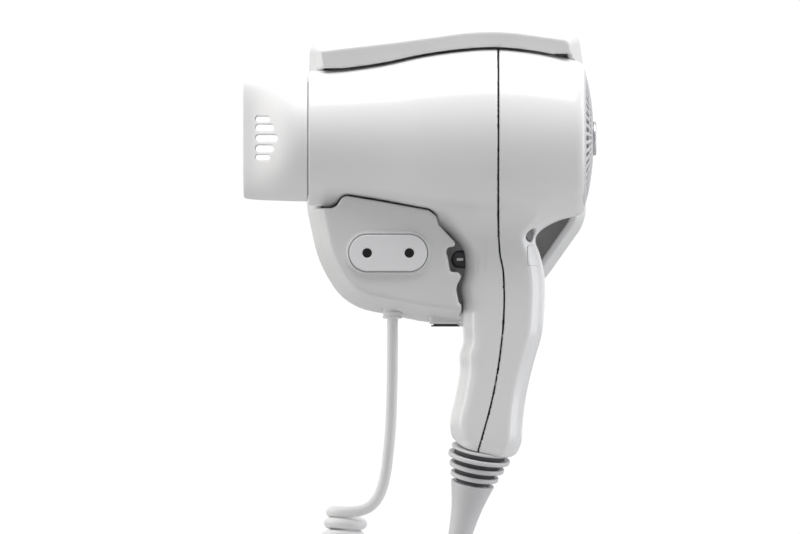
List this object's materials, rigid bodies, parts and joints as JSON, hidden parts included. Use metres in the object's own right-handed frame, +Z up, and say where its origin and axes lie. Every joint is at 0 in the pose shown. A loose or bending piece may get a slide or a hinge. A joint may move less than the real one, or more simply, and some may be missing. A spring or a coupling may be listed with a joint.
{
  "type": "wall mounted hair dryer",
  "caption": "Pistol-shaped hair dryer resting in a wall holder with a two-pin shaver socket, joined by a curly cord.",
  "frame": {"origin": "centre of the holder's back face, on the wall", "axes": "+X towards the barrel's intake end, +Z up, +Y into the wall"},
  "size_m": [0.1592, 0.0907, 0.4003],
  "materials": {
    "holder_white": "fine matt moulded texture",
    "plate_grey": "matt moulded",
    "insert_white": "semi-gloss",
    "steel": "bright zinc plated",
    "brass": "plain",
    "dark_plastic": "matt moulded",
    "terminal_plastic": "translucent white",
    "wire_cover": "insulation",
    "gland_white": "soft",
    "handset_white": "gloss",
    "nozzle_white": "satin",
    "grille_grey": "satin",
    "cap_chrome": "turned",
    "board_green": "solder mask",
    "mica": "layered mineral sheet",
    "heating_wire": "oxidised",
    "button_dark": "satin",
    "boot_grey": "soft satin",
    "cord_white": "satin"
  },
  "bodies": {
    "root": {"back_plate": "plate_grey", "tray_shell": "holder_white", "hood_shell": "holder_white", "front_cover": "holder_white", "cover_screws": "steel", "socket_insert": "insert_white", "socket_body": "dark_plastic", "socket_contacts": "brass", "socket_fuse": "terminal_plastic", "terminal_block": "terminal_plastic", "terminal_screws": "steel", "holder_wiring": "wire_cover", "cable_gland": "gland_white", "cord_anchor": "dark_plastic", "rocker_frame": "dark_plastic", "cord_lead": "cord_white", "cord_coil": "cord_white"},
    "rocker": {"rocker_switch": "dark_plastic"},
    "handset": {"front_housing": "handset_white", "rear_housing": "handset_white", "outlet_grille": "dark_plastic", "rear_grille": "grille_grey", "grille_cap": "cap_chrome", "lint_filter": "dark_plastic", "motor": "steel", "motor_mount": "dark_plastic", "rectifier_board": "board_green", "mica_boards": "mica", "heating_coils": "heating_wire", "mica_sleeve": "mica", "thermostat": "brass", "thermal_fuse": "steel", "trigger_spring": "steel", "trigger_switch": "dark_plastic", "cool_switch": "dark_plastic", "handle_wiring": "wire_cover", "handle_clamp": "dark_plastic", "housing_screws": "steel", "cord_boot": "boot_grey", "cord_tail": "cord_white"},
    "fan": {"motor_shaft": "steel", "impeller": "dark_plastic"},
    "nozzle": {"nozzle": "nozzle_white"},
    "trigger": {"trigger_button": "button_dark"},
    "cool": {"cool_button": "button_dark"}
  },
  "joints": [
    {"name": "handset_out", "type": "slide", "parent": "root", "child": "handset", "axis": [0, -0.9997, 0.0262], "range_m": [0, 0.085]},
    {"name": "rocker_tilt", "type": "hinge", "parent": "root", "child": "rocker", "pos_m": [-0.0002, -0.0145, -0.063], "axis": [1, 0, 0], "range_deg": [0, 14]},
    {"name": "fan_spin", "type": "hinge", "parent": "handset", "child": "fan", "pos_m": [0.03, -0.05, 0.016], "axis": [1, 0, 0], "continuous": true},
    {"name": "nozzle_turn", "type": "hinge", "parent": "handset", "child": "nozzle", "pos_m": [-0.066, -0.05, 0.016], "axis": [1, 0, 0], "continuous": true},
    {"name": "trigger_press", "type": "slide", "parent": "handset", "child": "trigger", "axis": [1, 0, 0], "range_m": [0, 0.0024], "stiffness_N_per_m": 900, "springref_m": -0.0012},
    {"name": "cool_press", "type": "slide", "parent": "handset", "child": "cool", "axis": [-0.7986, 0.6018, 0], "range_m": [0, 0.0012], "stiffness_N_per_m": 1500, "springref_m": -0.001}
  ]
}
